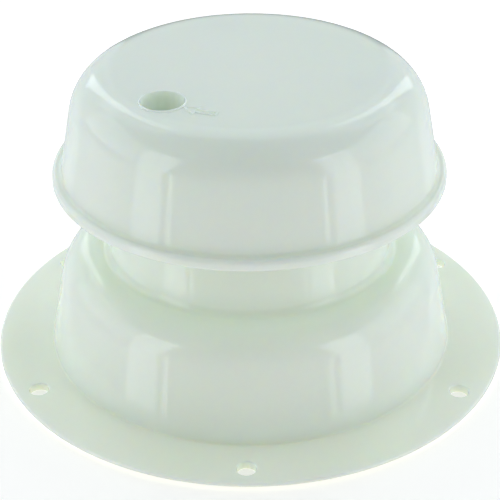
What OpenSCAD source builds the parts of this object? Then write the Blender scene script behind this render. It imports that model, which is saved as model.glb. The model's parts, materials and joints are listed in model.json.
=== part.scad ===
// Roof vent for a plumbing pipe: a flanged base that the pipe rises through, and a
// mushroom cap that keeps the rain out. One screw, down a well in the cap, holds the
// two mouldings together. The cap is one moulding in four nodes: wall, crown, posts
// and well. The origin is the centre of the flange's underside, +Z is up, and the
// front screw hole of the flange is towards -Y. All sizes are in millimetres.

/* [Roof flange] */
// Diameter of the flange
flange_d = 177.8; // [174:0.2:184]
// Thickness of the flange
flange_t = 3; // [2:0.1:4]
// Height of the flange's outer edge, above the bevel under its rim
flange_edge = 1.1; // [0.8:0.1:1.8]
// Width of the bevel under the flange's rim
bevel_w = 2.6; // [1:0.1:3]
// Number of screw holes
hole_count = 6; // [4:1:8]
// Diameter of each screw hole
hole_d = 6.4; // [4:0.1:7]
// Diameter of the circle that the screw holes lie on
hole_pcd = 162.6; // [160:0.2:165]

/* [Skirt of the base] */
// Radius of the skirt where it meets the flange
skirt_r = 70.1; // [68:0.1:72]
// Height of the annular deck on top of the skirt
deck_z = 37.7; // [34:0.1:42]
// Radius of the skirt's rounded shoulder
skirt_round = 13.4; // [10:0.1:15]
// Radius of the small blend between the skirt and the flange
foot_blend = 0.8; // [0.4:0.1:1.5]

/* [Neck of the base] */
// Radius that the neck's wall would have at the height of the deck
neck_r = 48.4; // [46.5:0.1:48.6]
// Height of the neck's top face
neck_z = 75; // [72:0.5:78]
// Lean of the neck's wall from the vertical, in degrees
neck_draft = 4; // [2:0.5:6]
// Radius of the concave blend where the neck meets the deck
neck_blend = 3; // [1.5:0.1:3]
// Diameter of the opening that the pipe passes through
pipe_hole_d = 61.2; // [58:0.2:62]
// Depth of the collar around that opening
pipe_collar_h = 8; // [5:0.5:12]

/* [Cap] */
// Height of the cap's lower edge
rim_z = 65.3; // [62:0.1:67]
// Radius of the rim's lip
rim_r = 65.9; // [65:0.1:68]
// Height of the lip
rim_h = 3.3; // [3:0.1:4]
// Radius of the cap's wall just above the lip
cap_r = 62.9; // [62:0.1:63.5]
// Height of the cap's flat top
cap_z = 102.2; // [98:0.1:106]
// Radius of the cap's rounded shoulder
cap_round = 15.7; // [12:0.1:18]

/* [Mouldings] */
// Thickness of the moulded walls
wall = 2.4; // [2:0.1:3]
// Lean of the outside walls from the vertical, in degrees
draft = 10.7; // [8:0.1:12]

/* [Screw well and posts] */
// Distance of the screw and of the posts from the centre line
post_r = 36.8; // [36:0.1:37.5]
// Angle of the screw well, clockwise from the front seen from above, in degrees
well_angle = 45.5; // [30:0.5:60]
// Inside diameter of the screw well at its mouth
well_d = 14.2; // [12:0.1:14.5]
// Inside diameter of the screw well at its floor
well_floor_d = 9.4; // [9.2:0.1:10.5]
// Height of the raised ring around the mouth of the well
well_ring_h = 0.5; // [0.3:0.1:0.8]
// Outside diameter of a support post
post_d = 9; // [8:0.1:10]
// Diameter of the locating peg under a support post
peg_d = 4; // [3:0.1:4.5]
// Length of the locating peg
peg_h = 4; // [3:0.5:6]

/* [Cap screw] */
// Diameter over the screw's thread
screw_d = 4.2; // [4:0.1:4.5]
// Length of the screw under its head
screw_len = 12.7; // [10:0.1:16]
// Diameter of the pan head
head_d = 8; // [7:0.1:9]
// Height of the pan head
head_h = 2.8; // [2.4:0.1:3.2]

/* [Hidden] */
$fn = 96;
// Gap all round a screw or a peg in its hole
fit_gap = 0.1;
// How far a cutter reaches past the face that it cuts
over = 1;
flange_r = flange_d / 2;
ledge_z = rim_z + rim_h;
pipe_hole_r = pipe_hole_d / 2;
floor_z = neck_z + wall;
boss_wall = 2.5;
boss_d = screw_d + 2 * boss_wall;
boss_h = screw_len;
// Angle from the well to a post, and from that post to the next
post_step = 120;
// Height at which the cap's wall and crown meet
seam_z = cap_z - cap_round / 3;
well_wall = 1.6;
well_ring_w = 0.6;
ring_d = well_d + 2 * well_ring_w;
arrow_h = 0.4;
arrow_angle = 24;
arrow_r = 35.6;
arrow_len = 10.8;
arrow_head = 4.2;
arrow_head_w = 4.6;
arrow_shaft_w = 2;
// The pan head is straight up to its edge's height, then tapers to its flat top
head_edge_h = 0.4 * head_h;
head_top_d = 0.6 * head_d;
recess_len = 4.8;
recess_w = 1.1;
recess_h = 1.6;

// Lean of a wall over a rise of dz.
function lean(dz, angle) = dz * tan(angle);

// Centre and wall tangent of the arc that rounds a leaning wall into a flat top.
function round_centre(r, z, top, round_r) =
    [r - lean(top - round_r - z, draft) - round_r / cos(draft), top - round_r];
function round_start(r, z, top, round_r) =
    round_centre(r, z, top, round_r) + round_r * [cos(draft), sin(draft)];

// Half section of a solid dome: a leaning wall, a round shoulder and a flat top.
module dome_section(r, z, top, round_r) {
    centre = round_centre(r, z, top, round_r);
    start = round_start(r, z, top, round_r);
    polygon([[0, z], [r, z], start, [centre.x, top], [0, top]]);
    translate(centre) circle(round_r);
}

// Concave blend between a leaning wall, which is at radius r at height z, and a floor there.
module blend_section(r, z, blend, angle) {
    rise = blend * (1 - sin(angle));
    tangent = [r - lean(rise, angle), z + rise];
    centre = tangent + blend * [cos(angle), sin(angle)];
    difference() {
        polygon([
            [r - blend, z - blend], [centre.x, z - blend], [centre.x, z],
            tangent, [r - blend, tangent.y]
        ]);
        translate(centre) circle(blend);
    }
}

// Puts its children on the circle of the well and the posts, turned by an angle from the well.
module at_post(turn) {
    rotate(-well_angle - turn) translate([0, -post_r, 0]) children();
}

// Cutter for an upright hole from one height to another.
module drill(d, z_low, z_high) {
    translate([0, 0, z_low - over]) cylinder(h = z_high - z_low + 2 * over, d = d);
}

// Half section of the base: flange, skirt, deck and neck, before it is hollowed.
module base_outside() {
    polygon([
        [0, 0], [flange_r - bevel_w, 0], [flange_r, flange_t - flange_edge],
        [flange_r, flange_t], [0, flange_t]
    ]);
    dome_section(skirt_r, flange_t, deck_z, skirt_round);
    blend_section(skirt_r, flange_t, foot_blend, draft);
    polygon([
        [0, deck_z], [neck_r, deck_z],
        [neck_r - lean(neck_z - deck_z, neck_draft), neck_z], [0, neck_z]
    ]);
    blend_section(neck_r, deck_z, neck_blend, neck_draft);
}

// Half section of the space inside the base.
module base_inside() {
    dome_section(skirt_r - wall + lean(flange_t, draft), 0, deck_z - wall, skirt_round - wall);
    neck_top_r = neck_r - lean(neck_z - deck_z, neck_draft);
    polygon([
        [0, 0], [neck_r - wall, 0], [neck_r - wall, deck_z],
        [neck_top_r - wall, neck_z - wall], [0, neck_z - wall]
    ]);
}

// Base moulding, with the pipe opening and its collar, the screw boss and the peg holes.
module vent_base() {
    color("ivory") difference() {
        union() {
            rotate_extrude() difference() {
                base_outside();
                base_inside();
            }
            translate([0, 0, neck_z - pipe_collar_h]) cylinder(h = pipe_collar_h, r = pipe_hole_r + wall);
            at_post(0) translate([0, 0, neck_z - boss_h]) cylinder(h = boss_h, d = boss_d);
        }
        drill(pipe_hole_d, neck_z - pipe_collar_h, neck_z);
        at_post(0) drill(screw_d + 2 * fit_gap, neck_z - boss_h, neck_z);
        for (turn = [post_step, 2 * post_step])
            at_post(turn) drill(peg_d + 2 * fit_gap, neck_z - wall, neck_z);
        for (i = [0 : hole_count - 1])
            rotate(i * 360 / hole_count) translate([0, -hole_pcd / 2, 0]) drill(hole_d, 0, flange_t);
    }
}

// Half section of the cap: the wall and top, and the lip that steps out around the rim.
module cap_outside() {
    dome_section(cap_r, ledge_z, cap_z, cap_round);
    translate([0, rim_z]) square([rim_r, rim_h]);
}

// Half section of the space under the cap.
module cap_inside() {
    dome_section(cap_r - wall, ledge_z, cap_z - wall, cap_round - wall);
    translate([0, rim_z]) square([cap_r - wall, rim_h]);
    translate([0, rim_z]) square([rim_r - wall, rim_h - wall]);
}

// Half section of the cap's shell.
module cap_section() {
    difference() {
        cap_outside();
        cap_inside();
    }
}

// Wall of the cap moulding, with the lip around its rim, up to the middle of the shoulder.
module cap_wall() {
    color("ivory") rotate_extrude() intersection() {
        cap_section();
        square([rim_r, seam_z]);
    }
}

// Raised arrow on the cap's top, along the circle of the well, that points at the well.
module arrow() {
    rotate(-arrow_angle) translate([-arrow_len / 2, -arrow_r, cap_z]) linear_extrude(arrow_h) {
        polygon([[0, 0], [arrow_head, arrow_head_w / 2], [arrow_head, -arrow_head_w / 2]]);
        translate([arrow_head, -arrow_shaft_w / 2]) square([arrow_len - arrow_head, arrow_shaft_w]);
    }
}

// Crown of the cap moulding: the flat top and the upper shoulder, with the hole for the well.
module cap_crown() {
    color("ivory") difference() {
        union() {
            rotate_extrude() intersection() {
                cap_section();
                translate([0, seam_z]) square([rim_r, cap_z - seam_z]);
            }
            arrow();
        }
        at_post(0) drill(ring_d, cap_z - wall, cap_z);
    }
}

// The two support posts under the crown, each with a locating peg at its foot.
module cap_posts() {
    color("ivory") for (turn = [post_step, 2 * post_step]) at_post(turn) {
        translate([0, 0, neck_z]) cylinder(h = cap_z - wall - neck_z, d = post_d);
        translate([0, 0, neck_z - peg_h]) cylinder(h = peg_h, d = peg_d);
    }
}

// Tapered well that is moulded into the cap, from a raised ring on top down to the screw's seat.
module screw_well() {
    seat_hole_r = screw_d / 2 + 2 * fit_gap;
    floor_r = well_floor_d / 2;
    mouth_r = well_d / 2;
    color("ivory") at_post(0) rotate_extrude() polygon([
        [seat_hole_r, neck_z], [floor_r + well_wall, neck_z],
        [ring_d / 2, cap_z - wall], [ring_d / 2, cap_z + well_ring_h],
        [mouth_r, cap_z + well_ring_h], [mouth_r, cap_z],
        [floor_r, floor_z], [seat_hole_r, floor_z]
    ]);
}

// Pan-head screw that holds the cap down, with a cross recess in its head.
module cap_screw() {
    color("silver") at_post(0) translate([0, 0, floor_z]) difference() {
        union() {
            translate([0, 0, -screw_len]) cylinder(h = screw_len, d = screw_d);
            cylinder(h = head_edge_h, d = head_d);
            translate([0, 0, head_edge_h]) cylinder(h = head_h - head_edge_h, d1 = head_d, d2 = head_top_d);
        }
        for (turn = [0, 90])
            rotate(turn) translate([-recess_len / 2, -recess_w / 2, head_h - recess_h])
                cube([recess_len, recess_w, recess_h + over]);
    }
}

vent_base();
cap_wall();
cap_crown();
cap_posts();
screw_well();
cap_screw();
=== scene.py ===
"""Looks of the roof vent: a glossy moulded base and cap, held together by one screw.

The main sizes come from the CAD frame. Profiles are half sections, as (radius, height)
in millimetres, and every corner in them carries its own rounding radius.
"""
import json
import math

import bmesh
import bpy
from mathutils import Matrix, Vector


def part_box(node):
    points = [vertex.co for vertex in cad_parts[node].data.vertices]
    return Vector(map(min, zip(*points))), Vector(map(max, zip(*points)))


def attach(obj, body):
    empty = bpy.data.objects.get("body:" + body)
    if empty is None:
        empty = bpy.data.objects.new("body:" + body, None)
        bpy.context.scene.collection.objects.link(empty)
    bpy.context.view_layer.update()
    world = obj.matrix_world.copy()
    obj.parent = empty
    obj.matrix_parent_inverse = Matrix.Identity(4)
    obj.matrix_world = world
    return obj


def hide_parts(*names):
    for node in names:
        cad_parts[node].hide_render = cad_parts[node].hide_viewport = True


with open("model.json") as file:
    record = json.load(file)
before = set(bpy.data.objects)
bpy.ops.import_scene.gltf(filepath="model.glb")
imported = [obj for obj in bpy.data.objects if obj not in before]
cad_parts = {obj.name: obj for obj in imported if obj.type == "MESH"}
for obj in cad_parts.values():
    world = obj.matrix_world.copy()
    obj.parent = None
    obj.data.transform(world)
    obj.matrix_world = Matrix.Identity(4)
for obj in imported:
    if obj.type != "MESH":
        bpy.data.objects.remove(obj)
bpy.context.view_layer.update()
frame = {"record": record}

MM = 0.001
FULL_TURN = 2 * math.pi

# How finely curves are stepped: big and small circles, rounded corners, the arrow, the screw's
# circle and the rows of one turn of its thread.
RING_STEPS = 288
SMALL_RING_STEPS = 96
CORNER_STEP = math.radians(6)
ARROW_STEPS = 6
SCREW_STEPS = 36
THREAD_ROWS = 12

SHARP_ANGLE = math.radians(40)
FLAT_FACE_WEIGHT = 90


# ---------------------------------------------------------------- sizes from the frame

def node_box_mm(node):
    """Lowest and highest corner of a CAD node, in millimetres."""
    low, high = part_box(node)
    return low / MM, high / MM


def mount(name):
    """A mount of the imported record."""
    return next(m for m in frame["record"]["mounts"] if m["name"] == name)


_, base_high = node_box_mm("vent_base")
wall_low, wall_high = node_box_mm("cap_wall")
well_low, well_high = node_box_mm("screw_well")
screw_low, _ = node_box_mm("cap_screw")

flange_r = base_high.x
neck_z = base_high.z
rim_r = wall_high.x
rim_z = wall_low.z
well_at = (well_low + well_high) / 2
well_outer_r = (well_high.x - well_low.x) / 2
post_r = math.hypot(well_at.x, well_at.y)
well_angle = math.atan2(-well_at.x, -well_at.y)
hole_ring_r = mount("roof_holes")["dims"]["pcd_mm"] / 2
hole_r = mount("roof_holes")["dims"]["hole_r_mm"]
hole_count = mount("roof_holes")["dims"]["count"]
pipe_hole_r = mount("pipe_opening")["dims"]["r_mm"]
pipe_collar_h = mount("pipe_opening")["dims"]["length_mm"]

# Sizes that the frame's boxes don't give, as the CAD model has them.
flange_t = 3.0
flange_edge = 1.1
bevel_w = 2.6
skirt_r = 70.1
deck_z = 37.7
skirt_round = 13.4
neck_r = 48.4
neck_draft = math.radians(4)
neck_blend = 3.0
draft = math.radians(10.7)
wall = 2.4
rim_h = 3.3
cap_r = 62.9
cap_round = 15.7
well_ring_h = 0.5
well_mouth_r = 7.1
well_floor_r = 4.7
well_wall = 1.6
boss_wall = 2.5
post_turn = math.radians(120)
post_body_r = 4.5
peg_r = 2.0
peg_h = 4.0
screw_r = 2.1
head_r = 4.0
head_h = 2.8
fit_gap = 0.1
arrow_h = 0.4
arrow_angle = math.radians(24)
arrow_r = 35.6
arrow_len = 10.8
arrow_head = 4.2
arrow_head_w = 4.6
arrow_shaft_w = 2.0

# Sizes of details that the CAD model leaves out.
arrow_line_w = 0.8
hole_flare = 0.4
small_hole_flare = 0.3
ring_round = 0.2
thread_pitch = 1.41
thread_root_r = 1.55
thread_flank = 0.36
point_h = 3.0
point_blunt = 0.12
head_round = 1.9
recess_len = 4.6
recess_w = 1.1
recess_h = 1.7
recess_foot_len = 0.45 * recess_len
recess_foot_w = 0.7 * recess_w

ledge_z = rim_z + rim_h
cap_z = well_high.z - well_ring_h
floor_z = neck_z + wall
screw_len = floor_z - screw_low.z
boss_r = screw_r + boss_wall
seat_hole_r = screw_r + 2 * fit_gap


# ---------------------------------------------------------------- profiles

def lean(rise, angle=draft):
    """How far a leaning wall moves inwards over a rise."""
    return rise * math.tan(angle)


def rounded(corners):
    """Points of a closed outline whose corners, as (r, z, rounding radius), become arcs."""
    points = []
    count = len(corners)
    for i, (r, z, radius) in enumerate(corners):
        here = Vector((r, z))
        to_last = (Vector(corners[i - 1][:2]) - here).normalized()
        to_next = (Vector(corners[(i + 1) % count][:2]) - here).normalized()
        if radius == 0:
            points.append(here)
            continue
        half = to_last.angle(to_next) / 2
        centre = here + (to_last + to_next).normalized() * (radius / math.sin(half))
        start = here + to_last * (radius / math.tan(half)) - centre
        turn = start.angle_signed(here + to_next * (radius / math.tan(half)) - centre)
        steps = max(3, round(abs(turn) / CORNER_STEP))
        for k in range(steps + 1):
            points.append(centre + Matrix.Rotation(-turn * k / steps, 2) @ start)
    return points


def base_profile():
    """Half section of the base: flange, skirt, deck, neck and the collar inside it."""
    shoulder_r = skirt_r - lean(deck_z - flange_t)
    neck_top_r = neck_r - lean(neck_z - deck_z, neck_draft)
    collar_r = pipe_hole_r + wall
    collar_z = neck_z - pipe_collar_h
    under_z = deck_z - wall
    return rounded([
        (skirt_r - wall, 0, 0.4),
        (flange_r - bevel_w, 0, 0.3),
        (flange_r, flange_t - flange_edge, 0.3),
        (flange_r, flange_t, 0.6),
        (skirt_r, flange_t, 0.8),
        (shoulder_r, deck_z, skirt_round),
        (neck_r, deck_z, neck_blend),
        (neck_top_r, neck_z, 0.8),
        (pipe_hole_r, neck_z, 0.5),
        (pipe_hole_r, collar_z, 0.5),
        (collar_r, collar_z, 0.5),
        (collar_r, neck_z - wall, 0.6),
        (neck_top_r - wall, neck_z - wall, 0.8),
        (neck_r - wall, under_z, 1.5),
        (shoulder_r - wall + lean(wall), under_z, skirt_round - wall),
    ])


def cap_profile():
    """Half section of the cap: flat top, round shoulder, leaning wall and the lip around the rim."""
    shoulder_r = cap_r - lean(cap_z - ledge_z)
    lip_floor_z = ledge_z - wall
    return rounded([
        (0, cap_z, 0),
        (0, cap_z - wall, 0),
        (shoulder_r - wall + lean(wall), cap_z - wall, cap_round - wall),
        (cap_r - wall, lip_floor_z, 0.4),
        (rim_r - wall, lip_floor_z, 0.2),
        (rim_r - wall, rim_z, 0.5),
        (rim_r, rim_z, 0.6),
        (rim_r, ledge_z, 1.4),
        (cap_r, ledge_z, 1.3),
        (shoulder_r, cap_z, cap_round),
    ])


# ---------------------------------------------------------------- mesh helpers

def new_object(name, bm):
    """A linked mesh object, with outward normals, from a bmesh in metres."""
    bmesh.ops.recalc_face_normals(bm, faces=bm.faces)
    mesh = bpy.data.meshes.new(name)
    bm.to_mesh(mesh)
    bm.free()
    obj = bpy.data.objects.new(name, mesh)
    bpy.context.scene.collection.objects.link(obj)
    return obj


def lathe(name, profile, steps=RING_STEPS, centre=(0, 0)):
    """Revolves a closed half section, in millimetres, about a vertical axis through centre."""
    bm = bmesh.new()
    rings = []
    for r, z in profile:
        if r < 1e-6:
            rings.append([bm.verts.new((centre[0] * MM, centre[1] * MM, z * MM))])
            continue
        ring = []
        for k in range(steps):
            a = FULL_TURN * k / steps
            ring.append(bm.verts.new((
                (centre[0] + r * math.cos(a)) * MM,
                (centre[1] + r * math.sin(a)) * MM,
                z * MM,
            )))
        rings.append(ring)
    for i, ring in enumerate(rings):
        above = rings[(i + 1) % len(rings)]
        if len(ring) == 1 and len(above) == 1:
            continue
        if len(ring) == 1:
            bm.faces.new(above)
        elif len(above) == 1:
            bm.faces.new(ring)
        else:
            for k in range(steps):
                j = (k + 1) % steps
                bm.faces.new((ring[k], ring[j], above[j], above[k]))
    loose = [v for v in bm.verts if not v.link_faces]
    bmesh.ops.delete(bm, geom=loose, context="VERTS")
    return new_object(name, bm)


def offset_outline(outline, distance):
    """A closed outline moved outwards, for an outline that runs clockwise seen from above."""
    moved = []
    count = len(outline)
    for i, here in enumerate(outline):
        before = (here - outline[i - 1]).normalized()
        after = (outline[(i + 1) % count] - here).normalized()
        before_out = Vector((-before.y, before.x))
        after_out = Vector((-after.y, after.x))
        out = (before_out + after_out).normalized()
        moved.append(here + out * distance / out.dot(after_out))
    return moved


def raised_line(outline, line_w, z_low, z_high):
    """An upright band of even width along a closed outline, narrower at its top."""
    bm = bmesh.new()
    loops = []
    half_w = line_w / 2
    top_half_w = line_w / 4
    slope_z = z_high - line_w / 4
    for distance, z in (
        (half_w, z_low), (half_w, slope_z), (top_half_w, z_high),
        (-top_half_w, z_high), (-half_w, slope_z), (-half_w, z_low),
    ):
        moved = offset_outline(outline, distance)
        loops.append([bm.verts.new((p.x * MM, p.y * MM, z * MM)) for p in moved])
    for i, loop in enumerate(loops):
        above = loops[(i + 1) % len(loops)]
        for k in range(len(outline)):
            j = (k + 1) % len(outline)
            bm.faces.new((loop[k], loop[j], above[j], above[k]))
    return new_object("raised_line", bm)


def merged(objects):
    """Several separate solids as one object."""
    bm = bmesh.new()
    for obj in objects:
        bm.from_mesh(obj.data)
        bpy.data.objects.remove(obj)
    return new_object("merged", bm)


def boolean(piece, other, operation):
    """Joins other to piece, or cuts it away, and removes other."""
    modifier = piece.modifiers.new(operation, "BOOLEAN")
    modifier.operation = operation
    modifier.solver = "EXACT"
    modifier.object = other
    graph = bpy.context.evaluated_depsgraph_get()
    mesh = bpy.data.meshes.new_from_object(piece.evaluated_get(graph))
    piece.modifiers.clear()
    piece.data = mesh
    bpy.data.objects.remove(other)


def shade(piece):
    """Smooth shading that leaves flat faces flat and keeps hard inside corners."""
    mesh = piece.data
    mesh.polygons.foreach_set("use_smooth", [True] * len(mesh.polygons))
    mesh.set_sharp_from_angle(angle=SHARP_ANGLE)
    normals = piece.modifiers.new("weighted_normals", "WEIGHTED_NORMAL")
    normals.keep_sharp = True
    normals.weight = FLAT_FACE_WEIGHT


def at_post(turn):
    """Centre, in millimetres, of the place on the well's circle at an angle from the well."""
    a = well_angle + turn
    return (-post_r * math.sin(a), -post_r * math.cos(a))


def hole_cutter(radius, flare, z_low, z_high, centre):
    """A drill that also rounds the two edges of the hole that it makes."""
    over = 0.5
    return lathe("drill", rounded([
        (0, z_low - over, 0),
        (radius + flare + over, z_low - over, 0),
        (radius + flare, z_low, 0),
        (radius, z_low, flare),
        (radius, z_high, flare),
        (radius + flare, z_high, 0),
        (radius + flare + over, z_high + over, 0),
        (0, z_high + over, 0),
    ]), SMALL_RING_STEPS, centre)


# ---------------------------------------------------------------- pieces

def make_base():
    """The base moulding, with its screw holes, screw boss and peg holes."""
    piece = lathe("vent_base_moulding", base_profile())
    boss_low = neck_z - screw_len
    boss_high = neck_z - wall / 2
    boss = lathe("boss", rounded([
        (0, boss_low, 0), (boss_r, boss_low, 0.5), (boss_r, boss_high, 0), (0, boss_high, 0),
    ]), SMALL_RING_STEPS, at_post(0))
    boolean(piece, boss, "UNION")
    drills = [hole_cutter(screw_r + fit_gap, small_hole_flare, boss_low, neck_z, at_post(0))]
    for k in range(hole_count):
        a = FULL_TURN * k / hole_count
        centre = (hole_ring_r * math.sin(a), -hole_ring_r * math.cos(a))
        drills.append(hole_cutter(hole_r, hole_flare, 0, flange_t, centre))
    for k in (1, 2):
        centre = at_post(k * post_turn)
        drills.append(hole_cutter(peg_r + fit_gap, small_hole_flare, neck_z - wall, neck_z, centre))
    boolean(piece, merged(drills), "DIFFERENCE")
    return piece


def arrow_outline():
    """Outline of the arrow on the cap, which is bent along the well's circle and points at the well."""
    half_shaft = arrow_shaft_w / 2
    half_head = arrow_head_w / 2
    shaft_len = arrow_len - arrow_head
    shaft = [arrow_head + shaft_len * k / ARROW_STEPS for k in range(ARROW_STEPS + 1)]
    straight = [(0, 0), (arrow_head, half_head)]
    straight += [(along, half_shaft) for along in shaft]
    straight += [(along, -half_shaft) for along in reversed(shaft)]
    straight.append((arrow_head, -half_head))
    outline = []
    for along, inwards in straight:
        a = arrow_angle - (along - arrow_len / 2) / arrow_r
        r = arrow_r - inwards
        outline.append(Vector((-r * math.sin(a), -r * math.cos(a))))
    return outline


def make_cap():
    """The cap moulding: shell, posts, screw well with its raised ring, and arrow."""
    piece = lathe("vent_cap_moulding", cap_profile())
    embed_z = cap_z - wall / 2
    added = [raised_line(arrow_outline(), arrow_line_w, embed_z, cap_z + arrow_h)]
    for k in (1, 2):
        added.append(lathe("post", rounded([
            (0, neck_z - peg_h, 0), (peg_r, neck_z - peg_h, 0.6), (peg_r, neck_z, 0.2),
            (post_body_r, neck_z, 0.3), (post_body_r, embed_z, 0), (0, embed_z, 0),
        ]), SMALL_RING_STEPS, at_post(k * post_turn)))
    ring_z = cap_z + well_ring_h
    added.append(lathe("well", rounded([
        (0, neck_z, 0), (well_floor_r + well_wall, neck_z, 0.4), (well_outer_r, cap_z - wall, 0),
        (well_outer_r, ring_z, ring_round), (0, ring_z, 0),
    ]), SMALL_RING_STEPS, at_post(0)))
    for extra in added:
        boolean(piece, extra, "UNION")
    over = 1
    cavity = lathe("cavity", rounded([
        (0, neck_z - over, 0),
        (seat_hole_r, neck_z - over, 0),
        (seat_hole_r, floor_z, 0),
        (well_floor_r, floor_z, 0.5),
        (well_mouth_r, cap_z, 0),
        (well_mouth_r, ring_z, ring_round),
        (well_mouth_r + ring_round, ring_z, 0),
        (well_mouth_r + ring_round, ring_z + over, 0),
        (0, ring_z + over, 0),
    ]), SMALL_RING_STEPS, at_post(0))
    boolean(piece, cavity, "DIFFERENCE")
    return piece


def thread_radius(z, turn):
    """Radius of the screw's thread at a height and a share of a full turn. The crest is halfway."""
    phase = (z / thread_pitch - turn) % 1
    crest = max(0, 1 - abs(phase - 0.5) / thread_flank)
    return thread_root_r + (screw_r - thread_root_r) * crest


def screw_shank():
    """The threaded shank, with its point."""
    tip_z = floor_z - screw_len
    rows = round(screw_len / (thread_pitch / THREAD_ROWS))
    bm = bmesh.new()
    rings = []
    for i in range(rows + 1):
        z = tip_z + i * screw_len / rows
        taper = min(1, point_blunt + (z - tip_z) / point_h)
        ring = []
        for k in range(SCREW_STEPS):
            r = taper * thread_radius(z, k / SCREW_STEPS)
            a = FULL_TURN * k / SCREW_STEPS
            ring.append(bm.verts.new((
                (well_at.x + r * math.cos(a)) * MM,
                (well_at.y + r * math.sin(a)) * MM,
                z * MM,
            )))
        rings.append(ring)
    for low, high in zip(rings, rings[1:]):
        for k in range(SCREW_STEPS):
            j = (k + 1) % SCREW_STEPS
            bm.faces.new((low[k], low[j], high[j], high[k]))
    bm.faces.new(rings[0])
    bm.faces.new(rings[-1])
    return new_object("screw_shank", bm)


def make_screw():
    """The pan-head screw: threaded shank with a point, domed head with a cross recess."""
    top_z = floor_z + head_h
    head = lathe("screw_head", rounded([
        (0, floor_z, 0), (head_r, floor_z, 0.3), (head_r, top_z, head_round), (0, top_z, 0),
    ]), SMALL_RING_STEPS, at_post(0))
    for turn in (0, 90):
        boolean(head, recess_blade(math.radians(turn) - well_angle), "DIFFERENCE")
    boolean(head, screw_shank(), "UNION")
    head.name = "cap_screw_steel"
    return head


def recess_blade(turn):
    """One tapered blade of the cross recess, as a solid to cut from the screw's head."""
    over = 0.5
    top_z = floor_z + head_h
    bm = bmesh.new()
    bmesh.ops.create_cube(bm, size=1)
    for v in bm.verts:
        if v.co.z < 0:
            v.co = Vector((v.co.x * recess_foot_len, v.co.y * recess_foot_w, top_z - recess_h))
        else:
            v.co = Vector((v.co.x * recess_len, v.co.y * recess_w, top_z + over))
    bmesh.ops.rotate(bm, verts=bm.verts, matrix=Matrix.Rotation(turn, 3, "Z"))
    bmesh.ops.translate(bm, verts=bm.verts, vec=(well_at.x, well_at.y, 0))
    bmesh.ops.scale(bm, verts=bm.verts, vec=(MM, MM, MM))
    return new_object("recess_blade", bm)


# ---------------------------------------------------------------- materials

# Colours of the plastic, the steel and the paper.
PLASTIC_LIGHT = (0.895, 0.965, 0.865, 1)
PLASTIC_DEEP = (0.88, 0.95, 0.845, 1)
PLASTIC_SPECK = (0.865, 0.94, 0.835, 1)
STEEL_DARK = (0.48, 0.47, 0.45, 1)
STEEL_LIGHT = (0.62, 0.62, 0.61, 1)
PAPER_DARK = (0.98, 0.93, 0.91, 1)
PAPER_LIGHT = (0.99, 0.94, 0.92, 1)
PAPER_GLOW_COLOUR = (1, 0.96, 0.96, 1)
PAPER_GLOW = 0.33
PAPER_ROUGHNESS = 0.9

# Noise scales, per metre, and heights of relief, in metres.
CLOUD_SCALE = 22
SPECK_SCALE = 900
STREAK_SCALE = 420
FLOW_SCALE = 14
TOOL_MARK_SCALE = 2600
TARNISH_SCALE = 320
FIBRE_SCALE = 600
STREAK_STRETCH = (1, 1, 0.06)
STREAK_HEIGHT = 0.000012
SPECK_HEIGHT = 0.000004
FLOW_HEIGHT = 0.00012
TOOL_MARK_HEIGHT = 0.00001

# How the plastic and the steel shine, and how far light spreads in the plastic, in metres.
PLASTIC_ROUGHNESS = (0.07, 0.12)
PLASTIC_IOR = 1.49
PLASTIC_SPREAD = (0.0025, 0.0022, 0.0017)
SPECK_SHARE = 0.25
STEEL_ROUGHNESS = (0.22, 0.38)


class Nodes:
    """Short calls that add and link the nodes of one material."""

    def __init__(self, material):
        self.tree = material.node_tree
        self.shader = self.tree.nodes["Principled BSDF"]

    def add(self, kind, inputs=None, **settings):
        """A node whose inputs are constants or other nodes' outputs."""
        node = self.tree.nodes.new(kind)
        for name, value in settings.items():
            setattr(node, name, value)
        for key, value in (inputs or {}).items():
            self.set(node.inputs[key], value)
        return node

    def set(self, socket, value):
        """Links an output to a socket, or gives the socket a constant."""
        if isinstance(value, bpy.types.NodeSocket):
            self.tree.links.new(value, socket)
        else:
            socket.default_value = value

    def vector_math(self, operation, one, two):
        """The result of an operation on two vectors."""
        node = self.add("ShaderNodeVectorMath", {0: one, 1: two}, operation=operation)
        return node.outputs[0]

    def noise(self, vector, scale, detail):
        """A noise texture's factor."""
        return self.add("ShaderNodeTexNoise", {
            "Vector": vector, "Scale": scale, "Detail": detail, "Roughness": 0.5,
        }).outputs["Fac"]

    def blend(self, factor, low, high):
        """Spreads 0.3 to 0.7, the range that noise mostly stays in, over low to high."""
        return self.add("ShaderNodeMapRange", {
            "Value": factor, "From Min": 0.3, "From Max": 0.7, "To Min": low, "To Max": high,
        }).outputs["Result"]

    def mix(self, factor, one, two):
        """A mix of two colours. Their sockets share names with others, so they go by number."""
        node = self.add("ShaderNodeMix", data_type="RGBA")
        self.set(node.inputs[0], factor)
        self.set(node.inputs[6], one)
        self.set(node.inputs[7], two)
        return node.outputs[2]

    def bump(self, height, distance, normal=None):
        """A bump of a height field, in metres."""
        inputs = {"Height": height, "Distance": distance}
        if normal is not None:
            inputs["Normal"] = normal
        return self.add("ShaderNodeBump", inputs).outputs["Normal"]


def new_material(name):
    """An empty Principled material and its node calls."""
    material = bpy.data.materials.new(name)
    material.use_nodes = True
    return material, Nodes(material)


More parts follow.
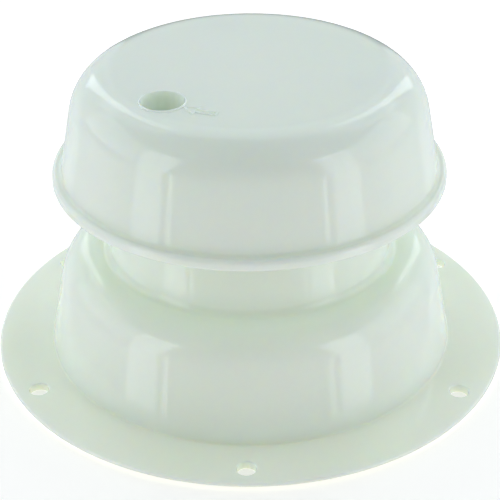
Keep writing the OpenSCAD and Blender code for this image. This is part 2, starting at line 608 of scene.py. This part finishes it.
def plastic(name, seed):
    """Glossy moulded off-white plastic: faint clouding, drawn streaks on the walls and micro texture."""
    material, nodes = new_material(name)
    place = nodes.add("ShaderNodeTexCoord").outputs["Object"]
    moved = nodes.vector_math("ADD", place, (seed, seed, seed))
    stretched = nodes.vector_math("MULTIPLY", moved, STREAK_STRETCH)
    clouds = nodes.noise(moved, CLOUD_SCALE, detail=3)
    specks = nodes.noise(moved, SPECK_SCALE, detail=2)
    streaks = nodes.noise(stretched, STREAK_SCALE, detail=2)
    flow = nodes.noise(moved, FLOW_SCALE, detail=1)
    colour = nodes.mix(nodes.blend(clouds, 0, 1), PLASTIC_DEEP, PLASTIC_LIGHT)
    colour = nodes.mix(nodes.blend(specks, 0, SPECK_SHARE), colour, PLASTIC_SPECK)
    relief = nodes.bump(streaks, STREAK_HEIGHT)
    relief = nodes.bump(specks, SPECK_HEIGHT, relief)
    relief = nodes.bump(flow, FLOW_HEIGHT, relief)
    shader = nodes.shader
    nodes.set(shader.inputs["Base Color"], colour)
    nodes.set(shader.inputs["Roughness"], nodes.blend(streaks, *PLASTIC_ROUGHNESS))
    nodes.set(shader.inputs["Normal"], relief)
    shader.inputs["IOR"].default_value = PLASTIC_IOR
    shader.inputs["Subsurface Weight"].default_value = 1.0
    shader.inputs["Subsurface Radius"].default_value = PLASTIC_SPREAD
    shader.inputs["Subsurface Scale"].default_value = 1.0
    return material


def steel(name):
    """Bright turned steel with fine tool marks and slight tarnish."""
    material, nodes = new_material(name)
    place = nodes.add("ShaderNodeTexCoord").outputs["Object"]
    marks = nodes.noise(place, TOOL_MARK_SCALE, detail=3)
    tarnish = nodes.noise(place, TARNISH_SCALE, detail=3)
    colour = nodes.mix(nodes.blend(tarnish, 0, 1), STEEL_DARK, STEEL_LIGHT)
    shader = nodes.shader
    nodes.set(shader.inputs["Base Color"], colour)
    nodes.set(shader.inputs["Roughness"], nodes.blend(marks, *STEEL_ROUGHNESS))
    nodes.set(shader.inputs["Normal"], nodes.bump(marks, TOOL_MARK_HEIGHT))
    shader.inputs["Metallic"].default_value = 1
    return material


def paper(name):
    """Matt white studio paper that glows a little, so that it renders as pale as in the photograph."""
    material, nodes = new_material(name)
    place = nodes.add("ShaderNodeTexCoord").outputs["Object"]
    fibres = nodes.noise(place, FIBRE_SCALE, detail=3)
    shader = nodes.shader
    nodes.set(shader.inputs["Base Color"], nodes.mix(nodes.blend(fibres, 0, 1), PAPER_DARK, PAPER_LIGHT))
    shader.inputs["Roughness"].default_value = PAPER_ROUGHNESS
    shader.inputs["Emission Color"].default_value = PAPER_GLOW_COLOUR
    shader.inputs["Emission Strength"].default_value = PAPER_GLOW
    return material


# ---------------------------------------------------------------- studio

# Softboxes as name, azimuths, elevations and brightness. Azimuth 0 is the front. What lies below
# elevation 0 lights only the gloss, because the floor hides it from everything else.
SIDE_SOFTBOXES = (
    ("front_low", (50, 68.5), (-30, 9), 1.85),
    ("front_high", (46, 69), (9, 42), 2.4),
    ("front_slit", (43.5, 46), (-30, 9), 2.2),
    ("side_low", (69, 125), (-30, 9), 0.25),
    ("side_high", (69, 125), (9, 42), 1.25),
    ("side_top", (30, 125), (42, 72), 0.37),
    ("rear", (125, 166), (-30, 38), 0.65),
    ("rear_strip", (144, 154), (10, 58), 1.4),
)
BACK_SOFTBOXES = (
    ("back_high", (166, 194), (9, 38), 0.45),
    ("back_top", (125, 235), (38, 72), 0.9),
)

# Distance of the softboxes, and the height that they aim at, in metres.
SOFTBOX_DISTANCE = 1.2
LIT_CENTRE_Z = 0.06
LIGHT_COLOUR = (0.91, 1.0, 1.04)
WORLD_COLOUR = (*LIGHT_COLOUR, 1)
WORLD_GLOW = 0.088

# Inside the well and under the cap the light comes off the plastic, so it has to bounce often.
LIGHT_BOUNCES = 12

# Radius of the floor, and height of the wall at its edge, in metres.
FLOOR_R = 1.5
FLOOR_STEPS = 128
BACKDROP_H = 1.2

# The camera as the photograph shows it: its distance in front of the vent's centre line and above
# the flange's top, in metres, how it is turned, and its lens and sensor, in millimetres.
CAMERA_BACK = 0.4334
CAMERA_UP = 0.2922
CAMERA_AZIMUTH = math.radians(1.12)
CAMERA_PITCH = math.radians(31.154)
CAMERA_ROLL = math.radians(-0.40)
CAMERA_LENS = 104.67
CAMERA_SENSOR = 36


def add_floor(material):
    """A plain round floor under the vent."""
    bm = bmesh.new()
    bmesh.ops.create_circle(bm, cap_ends=True, segments=FLOOR_STEPS, radius=FLOOR_R)
    floor = new_object("studio_floor", bm)
    floor.data.materials.append(material)
    floor.visible_glossy = False


def add_backdrop(material):
    """A plain round wall at the floor's edge, which the camera sees and the vent doesn't."""
    bm = bmesh.new()
    bmesh.ops.create_cone(
        bm, segments=FLOOR_STEPS, radius1=FLOOR_R, radius2=FLOOR_R, depth=2 * BACKDROP_H,
    )
    backdrop = new_object("studio_backdrop", bm)
    backdrop.data.materials.append(material)
    backdrop.visible_diffuse = False
    backdrop.visible_glossy = False
    backdrop.visible_shadow = False


def add_softbox(name, azimuths, elevations, radiance):
    """A softbox that faces the vent and fills a range of azimuths and elevations, in degrees, round it."""
    azimuth = math.radians(sum(azimuths) / 2)
    elevation = math.radians(sum(elevations) / 2)
    half_turn = math.radians(azimuths[1] - azimuths[0]) / 2
    half_rise = math.radians(elevations[1] - elevations[0]) / 2
    outwards = Vector((
        math.sin(azimuth) * math.cos(elevation),
        -math.cos(azimuth) * math.cos(elevation),
        math.sin(elevation),
    ))
    data = bpy.data.lights.new(name, "AREA")
    data.shape = "RECTANGLE"
    data.size = 2 * SOFTBOX_DISTANCE * math.tan(half_turn) * math.cos(elevation)
    data.size_y = 2 * SOFTBOX_DISTANCE * math.tan(half_rise)
    data.energy = radiance * math.pi * data.size * data.size_y
    data.color = LIGHT_COLOUR
    light = bpy.data.objects.new(name, data)
    light.location = outwards * SOFTBOX_DISTANCE + Vector((0, 0, LIT_CENTRE_Z))
    light.rotation_euler = (-outwards).to_track_quat("-Z", "Y").to_euler()
    bpy.context.scene.collection.objects.link(light)


def add_world():
    """Weak, slightly cool light from all round."""
    world = bpy.data.worlds.new("studio")
    world.use_nodes = True
    background = world.node_tree.nodes["Background"]
    background.inputs["Color"].default_value = WORLD_COLOUR
    background.inputs["Strength"].default_value = WORLD_GLOW
    bpy.context.scene.world = world


def add_camera():
    """The camera at the photograph's angle: in front, about 31 degrees down."""
    data = bpy.data.cameras.new("camera")
    data.sensor_width = CAMERA_SENSOR
    data.lens = CAMERA_LENS
    camera = bpy.data.objects.new("camera", data)
    turn = Matrix.Rotation(CAMERA_AZIMUTH, 3, "Z")
    camera.location = turn @ Vector((0, -CAMERA_BACK, CAMERA_UP + flange_t * MM))
    towards = turn @ Vector((0, math.cos(CAMERA_PITCH), -math.sin(CAMERA_PITCH)))
    roll = Matrix.Rotation(CAMERA_ROLL, 3, "Z")
    camera.rotation_euler = (towards.to_track_quat("-Z", "Y").to_matrix() @ roll).to_euler()
    bpy.context.scene.collection.objects.link(camera)
    bpy.context.scene.camera = camera


for piece, body, slot, nodes_replaced, material in (
    (make_base(), "base", "base_plastic", ["vent_base"], plastic("base_plastic", 0.0)),
    (make_cap(), "cap", "cap_plastic", ["cap_wall", "cap_crown", "cap_posts", "screw_well"],
     plastic("cap_plastic", 3.7)),
    (make_screw(), "screw", "screw_steel", ["cap_screw"], steel("screw_steel")),
):
    shade(piece)
    piece.data.materials.clear()
    piece.data.materials.append(material)
    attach(piece, body)
    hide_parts(*nodes_replaced)

studio_paper = paper("studio_paper")
add_floor(studio_paper)
add_backdrop(studio_paper)
add_world()
for name, azimuths, elevations, radiance in SIDE_SOFTBOXES:
    add_softbox(name + "_right", azimuths, elevations, radiance)
    add_softbox(name + "_left", (-azimuths[1], -azimuths[0]), elevations, radiance)
for name, azimuths, elevations, radiance in BACK_SOFTBOXES:
    add_softbox(name, azimuths, elevations, radiance)
add_camera()
bpy.context.scene.view_settings.view_transform = "Standard"
bpy.context.scene.cycles.diffuse_bounces = LIGHT_BOUNCES
bpy.context.scene.cycles.max_bounces = LIGHT_BOUNCES
